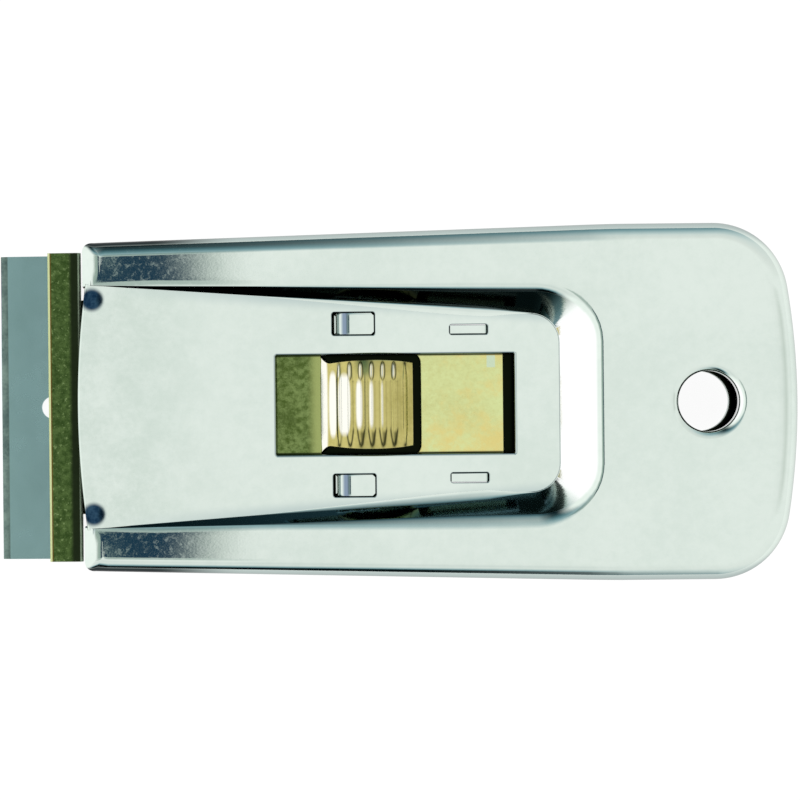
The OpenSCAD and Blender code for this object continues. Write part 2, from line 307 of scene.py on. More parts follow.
def makeEdgeWear():
    # finds corners by comparing the plain normal with a rounded one
    inputs = {"Radius": 0.0002, "Vector": (0, 0, 0), "Break Up": 1500.0}
    group, given, result = makeGroup("edgeWear", inputs, "Mask")
    rounded = add(group, "Bevel", {"Radius": given["Radius"]}, samples=4).outputs["Normal"]
    likeness = add(group, "VectorMath", {0: rounded, 1: surfaceNormal(group)}, operation="DOT_PRODUCT")
    corner = spread(group, likeness.outputs["Value"], 0.995, 0.9, kind="LINEAR")
    broken = noise(group, given["Vector"], given["Break Up"], 3.0)
    feed(group, result, compute(group, "MULTIPLY", corner, broken, clamp=True))
    return group


grainGroup, mottleGroup, wearGroup = makeGrain(), makeMottle(), makeEdgeWear()


def effect(tree, group, values):
    return add(tree, "Group", {"Vector": objectCoords(tree), **values}, node_tree=group).outputs[0]


def mottled(tree, size, fineSize, low, high):
    return effect(tree, mottleGroup, {"Size": size, "Fine Size": fineSize, "Low": low, "High": high})


def newMaterial(name):
    material = bpy.data.materials.new(name)
    material.use_nodes = True
    return material, material.node_tree


def metal(name, look, extra):
    # one sheet metal: mottled colour, rolled grain in the roughness and the bump, brighter worn edges
    material, tree = newMaterial(name)
    clouds = mottled(tree, look["size"], look["fineSize"], look["low"], look["high"])
    grain = effect(tree, grainGroup, {"Across": look["across"]})
    wear = effect(tree, wearGroup, {"Radius": look["wearRadius"]})
    smooth, coarse = look["rough"]
    base = mixColour(tree, clouds, look["dark"], look["light"])
    colour, rough = extra(tree, base, spread(tree, clouds, 0, 1, coarse, smooth))
    waves = noise(tree, objectCoords(tree), look["waveSize"], 1.0)
    broad = add(tree, "Bump", {"Distance": look["waveDepth"], "Height": waves}).outputs["Normal"]
    fine = add(tree, "Bump", {"Distance": look["grainDepth"], "Height": grain, "Normal": broad}).outputs["Normal"]
    feedAll(tree, tree.nodes["Principled BSDF"], {
        "Metallic": look["metallic"], "Specular Tint": [look["edgeTint"]] * 3, "Normal": fine,
        "Base Color": mixColour(tree, wear, colour, look["worn"]),
        "Roughness": compute(tree, "MULTIPLY_ADD", grain, look["grainRough"], rough),
    })
    return material


def nearPoint(tree, point, inner, outer):
    # 1 inside a ball round a point, fading to 0 outside it
    gap = add(tree, "VectorMath", {0: objectCoords(tree), 1: [v * mm for v in point]}, operation="DISTANCE")
    return spread(tree, gap.outputs["Value"], inner * mm, outer * mm, 1, 0)


def along(tree, axis, start, end):
    # 0 at one place on an axis, rising to 1 at the other
    return spread(tree, part(tree, objectCoords(tree), axis), start * mm, end * mm)


def alongX(tree, start, end):
    return along(tree, "X", start, end)


def within(tree, axis, low, high, soft):
    # 1 between two places on an axis, fading over a soft border
    return times(tree, along(tree, axis, low - soft, low + soft), along(tree, axis, high + soft, high - soft))


def facing(tree, axis, start, end):
    # 0 where the normal has one value on an axis, 1 where it has the other
    return spread(tree, part(tree, surfaceNormal(tree), axis), start, end)


def sideways(tree):
    # masks of surfaces that face across the object: away from its middle, and toward it
    y, turned = part(tree, objectCoords(tree), "Y"), part(tree, surfaceNormal(tree), "Y")
    across = spread(tree, compute(tree, "ABSOLUTE", turned), 0.45, 0.8)
    lean = times(tree, y, turned)
    return [times(tree, across, spread(tree, lean, side * 0.5 * mm, side * 3 * mm)) for side in (1, -1)]


# the upper case: side bands, rear land and the walls round the panel

case = {
    "rearX": 11.4, "frontX": -77.4, "rampX": -12.0, "bend": 2.5, "slopeFrom": 1.1,
    "height": 8.5, "noseHeight": 4.14, "frontHalf": 20.66, "rearHalf": 22.0,
    "noseCorner": 1.25, "rearCorner": 9.5, "rearArc": 88.1, "rearTurn": 9.15,
    "noseEdge": 2.5, "noseFall": 1.25, "noseTurn": 52.0, "frontEdge": 2.0, "rampEdge": 2.4, "rearEdge": 3.1,
    "noseFoot": 2.94, "sheet": 0.7, "cornerRest": 0.03, "sideFrom": 1.7, "recessFrom": 0.55,
    "crownWidth": (1.2, 0.65), "crownDrop": (0.16, 0.05), "wallAngle": (51.0, 45.2),  # at the sides and the rear end
    "holeR": 3.72, "holeEdge": 1.15, "holeTurn": 60.0, "holeFoot": 6.9,
}
panel = {
    "z": 4.017, "frontX": -78.1, "bulge": 1.1, "frontHalf": 15.3, "rearX": -17.8, "rearHalf": 11.2, "corner": 3.7,
    "sheet": 0.7, "frontRound": 0.3, "thinRound": 0.1, "windowRound": 0.3, "slotRound": 0.12, "under": 0.45,
    "gap": 0.05, "windowX": (-53.3, -23.5), "windowHalf": 6.22, "windowCorner": 0.12, "slotCorner": 0.3,
    "wideX": (-46.25, -40.85), "wideY": (8.65, 11.55), "narrowX": (-31.55, -26.75), "narrowY": (8.62, 9.88),
    "dent": (-76.15, 13.4), "dentR": 1.55, "dentDepth": 0.045,
}


def topHeight(x):
    # the wedge: level at the rear, sloping down to the nose, with a soft bend between
    slope = (case["height"] - case["noseHeight"]) / (case["rampX"] - case["frontX"] - case["slopeFrom"])
    ahead = case["rampX"] - x
    soft = case["bend"]
    if ahead > soft:
        return case["height"] - slope * ahead
    if ahead < -soft:
        return case["height"]
    return case["height"] - slope * (ahead + soft) ** 2 / (4 * soft)


def between(value, start, end):
    return min(max((value - start) / (end - start), 0.0), 1.0)


def edgeRadius(sample):
    # the outer rounding widens along the sides and again round the rear end
    share = between(sample["x"], case["frontX"], case["rampX"])
    beside = case["frontEdge"] + (case["rampEdge"] - case["frontEdge"]) * share
    return beside + (case["rearEdge"] - case["rampEdge"]) * max(0.0, sample["ox"]) ** 2


def halfOutline(inset=0.0):
    # outline of the case from its front corner to the middle of the rear end, for y > 0
    nose, corner = case["noseCorner"], case["rearCorner"]
    front = arc(case["frontX"] + nose, case["frontHalf"] - nose, nose - inset, 180, 91.3, 8)
    sideX = [case["frontX"] + nose + case["sideFrom"] + 3 * i for i in range(21)]
    taper = (case["rearHalf"] - case["frontHalf"]) / (case["rampX"] - case["frontX"])
    side = []
    for x in sideX:
        side.append({"x": x, "y": case["frontHalf"] + (x - case["frontX"]) * taper - inset, "ox": -taper, "oy": 1})
    straight = [{"x": x, "y": case["rearHalf"] - inset, "ox": 0, "oy": 1} for x in (-11.0, -8.0, -5.0, -2.0)]
    cornerX = case["rearX"] - corner - 1.0
    rear = arc(cornerX, case["rearHalf"] - corner, corner - inset, 90, case["rearTurn"], 20)
    end = arc(case["rearX"] - case["rearArc"], 0, case["rearArc"] - inset, case["rearTurn"], 0, 8)
    return front + side + straight + rear + end[1:]


def wallProfile(depth, wide, crown, angle, fillet):
    # reach and drop from the flat band to the panel: soft crown, bend, wall, fillet, and a dive below the panel
    crown = min(crown, 0.45 * depth)
    first, last = math.atan(2 * crown / wide), math.radians(angle)
    fall = math.cos(first) - math.cos(last)
    bend = min(max(0.15, 0.2 + 1.15 * (depth - 1.5)), 2.2, 0.4 * depth / fall)
    fillet = min(fillet, 0.3 * depth / (1 - math.cos(last)))
    steps = [(wide * i / 5, crown * (i / 5) ** 2) for i in range(1, 6)]
    for i in range(1, 7):
        turn = first + (last - first) * i / 6
        reach = wide + bend * (math.sin(turn) - math.sin(first))
        steps.append((reach, crown + bend * (math.cos(first) - math.cos(turn))))
    reach, drop = steps[-1]
    foot = reach + (depth - drop) / math.tan(last)
    drop = depth - fillet * (1 - math.cos(last))
    start = foot + fillet * math.tan(last / 2) - fillet * math.sin(last)
    for i in range(7):
        turn = last * (1 - i / 6)
        reach = start + fillet * (math.sin(last) - math.sin(turn))
        steps.append((reach, drop + fillet * (math.cos(turn) - math.cos(last)) - 0.004))
    reach, drop = steps[-1]
    steps += [(reach + 0.12, drop + 0.13), (reach + 0.12, drop + 0.4)]
    return steps, foot


def halfRecess():
    # foot of the recess wall from the front to the middle of its rear end, for y > 0
    centreX, centreY = panel["rearX"] - panel["corner"], panel["rearHalf"] - panel["corner"]
    lean = math.degrees(math.atan((panel["frontHalf"] - panel["rearHalf"]) / (centreX - panel["frontX"])))
    tangentX = centreX + panel["corner"] * math.sin(math.radians(lean))
    tangentY = centreY + panel["corner"] * math.cos(math.radians(lean))
    turn = math.radians(90 - lean)
    side = []
    for x in [case["frontX"] + case["frontEdge"] + case["recessFrom"] + 3.2 * i for i in range(17)]:
        y = tangentY + (tangentX - x) * math.tan(math.radians(lean))
        side.append({"x": x, "y": y, "ox": math.cos(turn), "oy": math.sin(turn)})
    corner = arc(centreX, centreY, panel["corner"], 90 - lean, 0, 12)
    return side + corner + [{"x": panel["rearX"], "y": y, "ox": 1, "oy": 0} for y in (5.0, 2.5, 0.0)]


def wallAt(sample, out):
    # the profile of the recess wall above a place on its foot
    depth = topHeight(sample["x"] + sample["ox"] * out) - panel["z"]
    toRear = max(0.0, sample["ox"]) ** 2
    shape = (case["crownWidth"], case["crownDrop"], case["wallAngle"])
    wide, crown, angle = (start + (end - start) * toRear for start, end in shape)
    fillet = 0.08 + 1.6 * between(sample["x"], -55, -32) * (1 - between(sample["x"], -27, -22))
    return wallProfile(depth, wide, crown, angle, fillet)


def recessTop(sample):
    # where the flat band ends above a place on the wall's foot
    out = 0.0
    for _ in range(6):
        out = wallAt(sample, out)[1]
    return {
        "x": sample["x"] + sample["ox"] * out, "y": sample["y"] + sample["oy"] * out,
        "ix": -sample["ox"], "iy": -sample["oy"], "fx": sample["x"], "fy": sample["y"], "out": out,
    }


def bandTop(sample, index):
    # where the flat band ends inside a place on the outline
    size = math.hypot(sample["ox"], sample["oy"])
    ox, oy = sample["ox"] / size, sample["oy"] / size
    edge = edgeRadius(sample)
    x, y = sample["x"] - ox * edge, sample["y"] - oy * edge
    fall, foot, turn = edge, 0.0, 90.0
    corner = 8
    if index <= corner:
        share = index / corner
        rest = case["cornerRest"]
        x = case["frontX"] + case["noseEdge"] + rest + rest * ox
        y = case["frontHalf"] - case["frontEdge"] - rest + rest * oy
        fall = case["noseFall"] + (case["frontEdge"] - case["noseFall"]) * share ** 2
        foot = case["noseFoot"] if index < 5 else 0.0
        turn = case["noseTurn"] + (90 - case["noseTurn"]) * share ** 2
    return {"x": x, "y": y, "ox": sample["x"] - x, "oy": sample["y"] - y, "fall": fall, "foot": foot, "turn": turn}


def buildShell():
    bm = bmesh.new()
    layers = floatLayers(bm, "ox", "oy", "ix", "iy", "fx", "fy", "out", "bx", "by", "fall", "foot", "turn")
    inner = [recessTop(sample) for sample in halfRecess()]
    noseTop = case["frontX"] + case["noseEdge"]
    nosePart = {name: case["nose" + name.capitalize()] for name in ("fall", "foot", "turn")}
    nosePart.update(x=noseTop, ox=-case["noseEdge"], oy=0)
    innerY = inner[0]["y"]
    outerY = case["frontHalf"] - case["frontEdge"] - case["cornerRest"]
    link = {name: inner[0][name] for name in ("ix", "iy", "fx", "fy", "out")}
    nose = [{**nosePart, **link, "y": innerY, "ix": 0, "iy": -1, "fx": noseTop}]
    nose += [{**nosePart, "y": innerY + (outerY - innerY) * i / 4} for i in range(1, 4)]
    outer = [bandTop(sample, i) for i, sample in enumerate(halfOutline())]
    half = nose + outer
    inner = [sample for sample in inner if sample["x"] > noseTop + 0.4]
    ring = half + mirrored(half)[1:] + mirrored(inner)[::-1] + inner[::-1][1:]
    hole = arc(0, 0, case["holeR"] + case["holeEdge"], 0, 360, 72)[:-1]
    reach = case["holeEdge"]
    holePart = {"fall": reach, "foot": case["holeFoot"], "turn": case["holeTurn"]}
    for sample in hole:
        sample.update(holePart, ox=-sample["ox"] * reach, oy=-sample["oy"] * reach)
    for sample in ring + hole:
        sample["bx"], sample["by"] = sample["x"], sample["y"]
    fill(bm, addRing(bm, layers, ring) + addRing(bm, layers, hole))
    cutAcross(bm, 0, [case["rampX"] + case["bend"] * i / 5 for i in (-5, -3, -1, 1, 3, 5)])
    cutAcross(bm, 1, [0])
    border = openEdges(bm)
    for vert in bm.verts:
        vert.co.z = topHeight(vert.co.x / mm) * mm
    rounds, steps = 14, 20
    profiles = {}

    def placeVert(vert, step):
        read = {name: vert[layer] for name, layer in layers.items()}
        height = topHeight(read["bx"])
        x, y, z = read["bx"], read["by"], height
        if math.hypot(read["ox"], read["oy"]) > 0.5:
            most = math.radians(read["turn"] or 90)
            turn = most * min(step, rounds) / rounds
            x += read["ox"] * math.sin(turn) / math.sin(most)
            y += read["oy"] * math.sin(turn) / math.sin(most)
            fall = read["fall"] / math.sin(most)
            low = height - fall * (1 - math.cos(most))
            z = height - fall * (1 - math.cos(turn))
            if step > rounds:
                z = low + (min(read["foot"], low) - low) * (step - rounds) / (steps - rounds)
        if math.hypot(read["ix"], read["iy"]) > 0.5:
            size = math.hypot(read["ix"], read["iy"])
            ix, iy = read["ix"] / size, read["iy"] / size
            key = (round(read["fx"], 4), round(abs(read["fy"]), 4))
            if key not in profiles:
                profiles[key] = wallAt({"x": read["fx"], "ox": -ix, "oy": abs(iy)}, read["out"])[0]
            reach, drop = profiles[key][step - 1]
            x += ix * reach
            y += iy * reach
            z = min(z, height - drop)
        return Vector((x, y, z)) * mm

    sweep(bm, border, placeVert, steps)
    return bm


# the sunken panel with its window, ear slots and dents

def panelOutline():
    side = []
    for s in halfRecess():
        out = panel["under"] if s["x"] < -24 else -panel["gap"]
        x, y = s["x"] + s["ox"] * out, s["y"] + s["oy"] * out
        side.append({"x": x, "y": y, "ox": s["ox"], "oy": s["oy"], "edge": panel["thinRound"]})
    half, bulge = panel["frontHalf"] + 0.1, panel["bulge"]
    bow = (half ** 2 + bulge ** 2) / (2 * bulge)
    turn = math.degrees(math.asin(half / bow))
    front = [{**s, "edge": panel["frontRound"]} for s in arc(panel["frontX"] + bow, 0, bow, 180 - turn, 180, 36)]
    side = [s for s in side if s["x"] > front[0]["x"] + 1.0]
    chain = front[::-1] + side
    return chain + mirrored(chain)[1:-1]


def buildPanel():
    bm = bmesh.new()
    layers = floatLayers(bm, "ox", "oy", "bx", "by", "edge")
    x0, x1 = panel["windowX"]
    half = panel["windowHalf"]
    rings = [panelOutline()]
    holes = [roundedBox(x0, x1, -half, half, panel["windowCorner"])]
    for side in (1, -1):
        for kind in ("wide", "narrow"):
            holes.append(boxBeside(side, panel[kind + "X"], panel[kind + "Y"], panel["slotCorner"]))
    for hole, edge in zip(holes, (panel["windowRound"], *[panel["slotRound"]] * 4)):
        rings.append([{**sample, "edge": edge} for sample in inward(hole)])
    edges = []
    for ring in rings:
        for sample in ring:
            pullIn(sample, sample["edge"])
        edges += addRing(bm, layers, ring, panel["z"])
    fill(bm, edges)
    dentX, dentY = panel["dent"]
    reach = panel["dentR"] * 1.1
    for side in (1, -1):
        cy = dentY * side
        cutAcross(bm, 0, [dentX - reach, dentX + reach])
        cutAcross(bm, 1, [cy - reach, cy + reach])

        def nearDent():
            faces = []
            for face in bm.faces:
                centre = face.calc_center_median()
                if abs(centre.x / mm - dentX) < reach and abs(centre.y / mm - cy) < reach:
                    faces.append(face)
            return faces + list({e for f in faces for e in f.edges}) + list({v for f in faces for v in f.verts})

        count = 22
        steps = [-reach + 2 * reach * i / count for i in range(1, count)]
        cutAcross(bm, 0, [dentX + step for step in steps], nearDent)
        cutAcross(bm, 1, [cy + step for step in steps], nearDent)

    def dentDepth(x, y):
        gap = math.hypot(x - dentX, abs(y) - dentY) / panel["dentR"]
        return panel["dentDepth"] * max(0.0, 1 - gap ** 2) ** 1.5

    border, rounds = openEdges(bm), 4
    for vert in bm.verts:
        vert.co.z -= dentDepth(vert.co.x / mm, vert.co.y / mm) * mm

    def placeVert(vert, step):
        x, y, drop = onRounding(vert, layers, vert[layers["edge"]], step, rounds)
        z = panel["z"] - dentDepth(vert[layers["bx"]], vert[layers["by"]]) - drop
        if step > rounds:
            z = panel["z"] - panel["sheet"]
        return Vector((x, y, z)) * mm

    fill(bm, sweep(bm, border, placeVert, rounds + 1))
    return bm


# the lower case: floor, rim, ears and the rolled lip under the hang hole

tray = {
    "inset": 0.8, "edge": 0.5, "sheet": 0.9, "rim": 3.0, "rimX": -64.5, "frontX": -76.9,
    "holeR": 3.75, "holeEdge": 0.95, "holeTop": 1.6,
    "wideX": (-46.0, -40.97), "wideY": (8.75, 11.45), "bendX": 2.4, "bendZ": 1.5, "chamfer": 0.35, "blankX": -47.0,
    "blankExtra": 5.2, "earFoot": 0.2, "earRound": 0.4,
    "narrowX": (-31.46, -26.87), "narrowY": (8.72, 9.78), "top": 4.0,
}


def buildTray():
    bm = bmesh.new()
    layers = floatLayers(bm, "ox", "oy", "bx", "by", "top", "hole")
    edge = tray["edge"]
    outline = [s for s in halfOutline(tray["inset"]) if s["x"] > tray["frontX"] + 0.6]
    outline.insert(0, {**outline[0], "x": tray["frontX"]})
    steps = [tray["rimX"] - 0.05, tray["rimX"] + 0.05]
    at = next(i for i, s in enumerate(outline) if s["x"] > steps[1])
    for i, x in enumerate(steps):
        outline.insert(at + i, {**outline[at + i - 1], "x": x})
    for sample in outline:
        pullIn(sample, edge)
        sample["top"] = tray["rim"] if sample["x"] > tray["rimX"] else edge + 0.1
    ring = outline + mirrored(outline)[1:]
    hole = inward(arc(0, 0, tray["holeR"] + tray["holeEdge"], 0, 360, 64)[:-1])
    for sample in hole:
        sample.update(bx=sample["x"], by=sample["y"], hole=1)
    blanks = []
    length = tray["top"] - tray["bendZ"] + tray["blankExtra"]
    rise = tray["top"] - tray["sheet"]
    root = tray["narrowY"][1]
    for side in (1, -1):
        blanks.append(boxBeside(side, (tray["blankX"] - length, tray["blankX"]), tray["wideY"], 0.2, 2))
        blanks.append(boxBeside(side, tray["narrowX"], (root, root + rise), 0.2, 2))
    edges = addRing(bm, layers, ring) + addRing(bm, layers, hole)
    for samples in blanks:
        edges += addRing(bm, layers, atRest(samples))
    fill(bm, edges)
    ox, oy = layers["ox"], layers["oy"]
    border = [e for e in openEdges(bm) if abs(e.verts[0][ox]) + abs(e.verts[0][oy]) > 0.5]
    rounds = 6

    def placeVert(vert, step):
        isHole = vert[layers["hole"]] > 0.5
        x, y, z = onRounding(vert, layers, tray["holeEdge"] if isHole else edge, step, rounds)
        if step > rounds:
            z = tray["holeTop"] if isHole else vert[layers["top"]]
        return Vector((x, y, z)) * mm

    sweep(bm, border, placeVert, rounds + 1)
    return bm


def buildEars():
    # wide ears stand up from the floor and bend back flush with the panel
    bm = bmesh.new()
    top, bendX, bendZ = tray["top"], tray["bendX"], tray["bendZ"]
    rootX, tipX = tray["wideX"]
    low, high = tray["wideY"]
    for side in (1, -1):
        middle = [(rootX, tray["earFoot"]), (rootX, 1.2)]
        for i in range(11):
            angle = math.radians(180 - 90 * i / 10)
            middle.append((rootX + bendX + bendX * math.cos(angle), top - bendZ + bendZ * math.sin(angle)))
        middle += [(tipX - tray["chamfer"], top), (tipX, top)]
        verts = [bm.verts.new((x * mm, side * low * mm, z * mm)) for x, z in middle]
        spine = [bm.edges.new(pair) for pair in zip(verts, verts[1:])]
        last = (tipX - tray["chamfer"] / 2) * mm
        for y in (low + tray["chamfer"], high - tray["chamfer"], high):
            fresh, spine = extrude(bm, spine)
            for vert in fresh:
                vert.co.y = side * y * mm
        for vert in bm.verts:
            atRim = abs(abs(vert.co.y) - low * mm) < weld or abs(abs(vert.co.y) - high * mm) < weld
            if atRim and vert.co.x > last:
                vert.co.x = (tipX - tray["chamfer"]) * mm
    bmesh.ops.remove_doubles(bm, verts=bm.verts, dist=weld)
    bmesh.ops.recalc_face_normals(bm, faces=bm.faces)
    for face in bm.faces:  # the outer side of the bend looks forward and up
        centre = face.calc_center_median()
        wanted = Vector((-1, 0, 0)) if centre.z < 2 * mm else up
        if face.normal.dot(wanted) < 0:
            face.normal_flip()
    return bm


def buildNarrowEars():
    bm = bmesh.new()
    x0, x1 = tray["narrowX"]
    y0, y1 = tray["narrowY"]
    foot = tray["earFoot"]
    for side in (1, -1):
        made = bmesh.ops.create_cube(bm, size=1, matrix=(
            Matrix.Translation(Vector(((x0 + x1) / 2, side * (y0 + y1) / 2, (tray["top"] + foot) / 2)) * mm)
            @ Matrix.Diagonal(Vector(((x1 - x0) * mm, (y1 - y0) * mm, (tray["top"] - foot) * mm, 1)))
        ))
        rearTop = [
            edge for vert in made["verts"] for edge in vert.link_edges
            if min(v.co.x for v in edge.verts) > (x1 - 0.01) * mm and min(v.co.z for v in edge.verts) > 2 * mm
        ]
        bmesh.ops.bevel(
            bm, geom=list(set(rearTop)), offset=tray["earRound"] * mm, offset_type="OFFSET",
            segments=5, profile=0.5, affect="EDGES", material=-1,
        )
    return bm


# the carriage plate and the arched thumb tab

carriage = {
    "headX": -80.0, "neckX": -60.5, "tailX": -24.85, "headHalf": 13.5, "stemHalf": 8.6, "trim": 0.6,
    "openX": (-47.7, -35.2), "openHalf": 6.4, "openR": 1.25, "bendX": -49.0, "tilt": 2.8,
    "z": 3.167, "sheet": 0.6, "edge": 0.12,
}
tab = {
    "x": -47.7, "length": 11.5, "half": 5.5, "rise": 2.85, "crown": 6.5, "barrel": 0.55, "sheet": 0.55,
    "ribs": 7, "pitch": 1.37, "firstX": -45.4, "ribHalf": 0.42, "ribHeight": 0.19, "ribEnd": 5.1, "ribTaper": 2.1,
    "droopFrom": 2.8, "droop": 0.5, "flare": 1.0, "flareEnd": 1.3, "lineWidth": 0.1,
    # painted shade lines round drops at the rib ends on +y: from y, middle, reach, half width and line width
    "dropFrom": 2.9, "dropY": 4.15, "dropReach": 1.15, "dropHalf": 0.27, "dropLine": 0.08,
    # painted highlights: from x, to x, and how far out to the sides
    "highlightSpans": [
        (-47.9, -46.85, 8.0), (-46.64, -45.7, 4.4), (-45.5, -43.95, 4.1),
        (-43.22, -42.49, 3.3), (-41.55, -41.12, 3.2), (-40.07, -39.93, 3.1),
    ],
}


def plateHeight(x):
    return carriage["z"] - max(0.0, carriage["bendX"] - x) * math.tan(math.radians(carriage["tilt"]))


def buildCarriage():
    bm = bmesh.new()
    layers = floatLayers(bm, "ox", "oy", "bx", "by")
    c = carriage
    head = arc(c["headX"] + c["trim"], c["headHalf"] - c["trim"], c["trim"], 180, 90, 4)
    neck = arc(c["neckX"] - c["trim"], c["headHalf"] - c["trim"], c["trim"], 90, 0, 4)
    root = inward(arc(c["neckX"] + 0.4, c["stemHalf"] + 0.4, 0.4, 180, 270, 4))
    tail = arc(c["tailX"] - c["trim"], c["stemHalf"] - c["trim"], c["trim"], 90, 0, 4)
    half = head + neck + root + tail
    ring = half + mirrored(half)
    opening = inward(
        arc(c["openX"][1] - c["openR"], c["openHalf"] - c["openR"], c["openR"], 90, 0, 8)
        + arc(c["openX"][1] - c["openR"], c["openR"] - c["openHalf"], c["openR"], 0, -90, 8)
        + arc(c["openX"][0] + 0.2, 0.2 - c["openHalf"], 0.2, -90, -180, 2)
        + arc(c["openX"][0] + 0.2, c["openHalf"] - 0.2, 0.2, 180, 90, 2)
    )
    edges = []
    for samples in (ring, opening):
        for sample in samples:
            pullIn(sample, c["edge"])
        edges += addRing(bm, layers, samples)
    fill(bm, edges)
    cutAcross(bm, 0, [c["bendX"]])
    border, rounds = openEdges(bm), 3
    for vert in bm.verts:
        vert.co.z = plateHeight(vert.co.x / mm) * mm

    def placeVert(vert, step):
        x, y, drop = onRounding(vert, layers, c["edge"], step, rounds)
        return Vector((x, y, plateHeight(x) - (c["sheet"] if step > rounds else drop))) * mm

    fill(bm, sweep(bm, border, placeVert, rounds + 1))
    return bm


def bell(value, width):
    return math.exp(-(value / width) ** 2)


def ribMarks(x, y, nearest, aside, line):
    # painted shade along the borders of the ribs, and painted highlights on their fronts
    onRib, beforeLast = between(nearest, 1, 2), between(nearest, 6, 5)
    if y > tab["dropFrom"]:  # on this side the rib ends look like drops that close toward the middle
        belly = tab["dropHalf"] * math.sqrt(max(0.0, 1 - ((y - tab["dropY"]) / tab["dropReach"]) ** 2))
        line = bell(abs(aside) - belly, tab["dropLine"]) * between(y, 5.45, 5.3)
    drop = bell(abs(y) - tab["ribEnd"], 0.3) * bell(aside, 0.22) * (0.4 if y > 0 and nearest < 6 else 1.0)
    line *= (0.15 + 0.85 * between(abs(y), 2.7, 3.3)) * between(x, tab["firstX"] - 0.5, tab["firstX"] + 1.0)
    streak = bell(aside - 0.14, 0.24) * between(y, -3.1, -3.6) * between(y, -5.2, -4.8) * onRib
    highlight = 0.0
    for low, high, far in tab["highlightSpans"]:
        wide = (high - low) / 2 * math.sqrt(max(0.0, 1 - abs(y / far) ** 3))
        highlight += between(abs(x - (low + high) / 2), wide + 0.13, wide - 0.1) * between(abs(y), far, far - 0.8)
    tear = bell(aside + 0.03, 0.13) * between(y, 3.2, 3.7) * between(y, 5.1, 4.7) * beforeLast
    return min(1.0, drop + (line + 0.75 * streak) * beforeLast), min(1.0, 0.95 * highlight + 0.75 * tear)


def buildTab():
    # a fine grid bent over the arch, with long ribs pressed up out of it and its sides drooping
    bm = bmesh.new()
    grooveShade, frontHighlight = floatLayers(bm, "grooveShade", "frontHighlight").values()
    bmesh.ops.create_grid(bm, x_segments=240, y_segments=90, size=0.5)
    arcX = tab["x"] + tab["crown"]
    for vert in bm.verts:
        x = tab["x"] + (vert.co.x + 0.5) * tab["length"]
        away = (x - arcX) / tab["crown"]
        flare = tab["flare"] * (1 - between(x, tab["x"], tab["x"] + tab["flareEnd"])) ** 2
        y = vert.co.y * 2 * (tab["half"] - tab["barrel"] * away ** 2 + flare)
        rest = x - tab["firstX"]
        nearest = min(max(round(rest / tab["pitch"]), 0), tab["ribs"] - 1)
        aside = rest - nearest * tab["pitch"]
        taper = between(abs(y), tab["ribEnd"], tab["ribEnd"] - tab["ribTaper"])
        half = tab["ribHalf"] * math.sqrt(max(taper, 0.0)) + 0.02
        gap = abs(aside) / half
        ridge = math.cos(math.pi / 2 * min(gap, 1.0)) ** 2 * (0.35 + 0.65 * taper if taper > 0 else 0)
        droop = tab["droop"] * between(abs(y), tab["droopFrom"], tab["half"]) ** 2
        z = carriage["z"] + tab["rise"] * (1 - away ** 2) + tab["ribHeight"] * ridge
        z -= droop * (0.25 + 0.75 * between(x, tab["x"], tab["x"] + 2))
        vert.co = Vector((x, y, z)) * mm
        # painted shade and painted highlights of the ribs, kept on the vertices for the finish
        line = bell((gap - 1) * half, tab["lineWidth"]) if taper > 0 else 0.0
        vert[grooveShade], vert[frontHighlight] = ribMarks(x, y, nearest, aside, line)
    return bm


# the blade channel and the blade

channel = {"x": -81.9, "depth": 4.1, "half": 19.4, "sheet": 0.3, "height": 1.02, "fold": 0.34}
blade = {
    "out": 6.1, "depth": 9.5, "thick": 0.25, "bevel": 0.95, "half": 19.05,
    "holeSet": 6.5, "holeR": 1.4, "corner": 0.35, "edgeHalf": 0.004,
}
bendPlace = Matrix.Translation(Vector((carriage["bendX"], 0, carriage["z"])) * mm)
frontTurn = bendPlace @ Matrix.Rotation(math.radians(-carriage["tilt"]), 4, "Y")
channelRun = (carriage["bendX"] - channel["x"]) / math.cos(math.radians(carriage["tilt"]))


def buildChannel():
    # a strip folded over at its rear, drawn as its outer line and given its sheet thickness
    bm = bmesh.new()
    fold = channel["height"] / 2
    back = channel["depth"] - channel["fold"]
    line = [(0.0, channel["height"])] + [(back * i / 6, channel["height"]) for i in range(1, 6)]
    for i in range(13):
        angle = math.radians(90 - 180 * i / 12)
        line.append((back + channel["fold"] * math.cos(angle), fold + fold * math.sin(angle)))
    line += [(back * i / 6, 0.0) for i in range(5, 0, -1)] + [(0.0, 0.0)]
    verts = [bm.verts.new(((x - channelRun) * mm, -channel["half"] * mm, z * mm)) for x, z in line]
    edges = [bm.edges.new(pair) for pair in zip(verts, verts[1:])]
    count = 24

    def placeVert(vert, step):
        return Vector((vert.co.x, channel["half"] * (2 * step / count - 1) * mm, vert.co.z))

    sweep(bm, edges, placeVert, count)
    bmesh.ops.transform(bm, matrix=frontTurn, verts=bm.verts)
    return bm


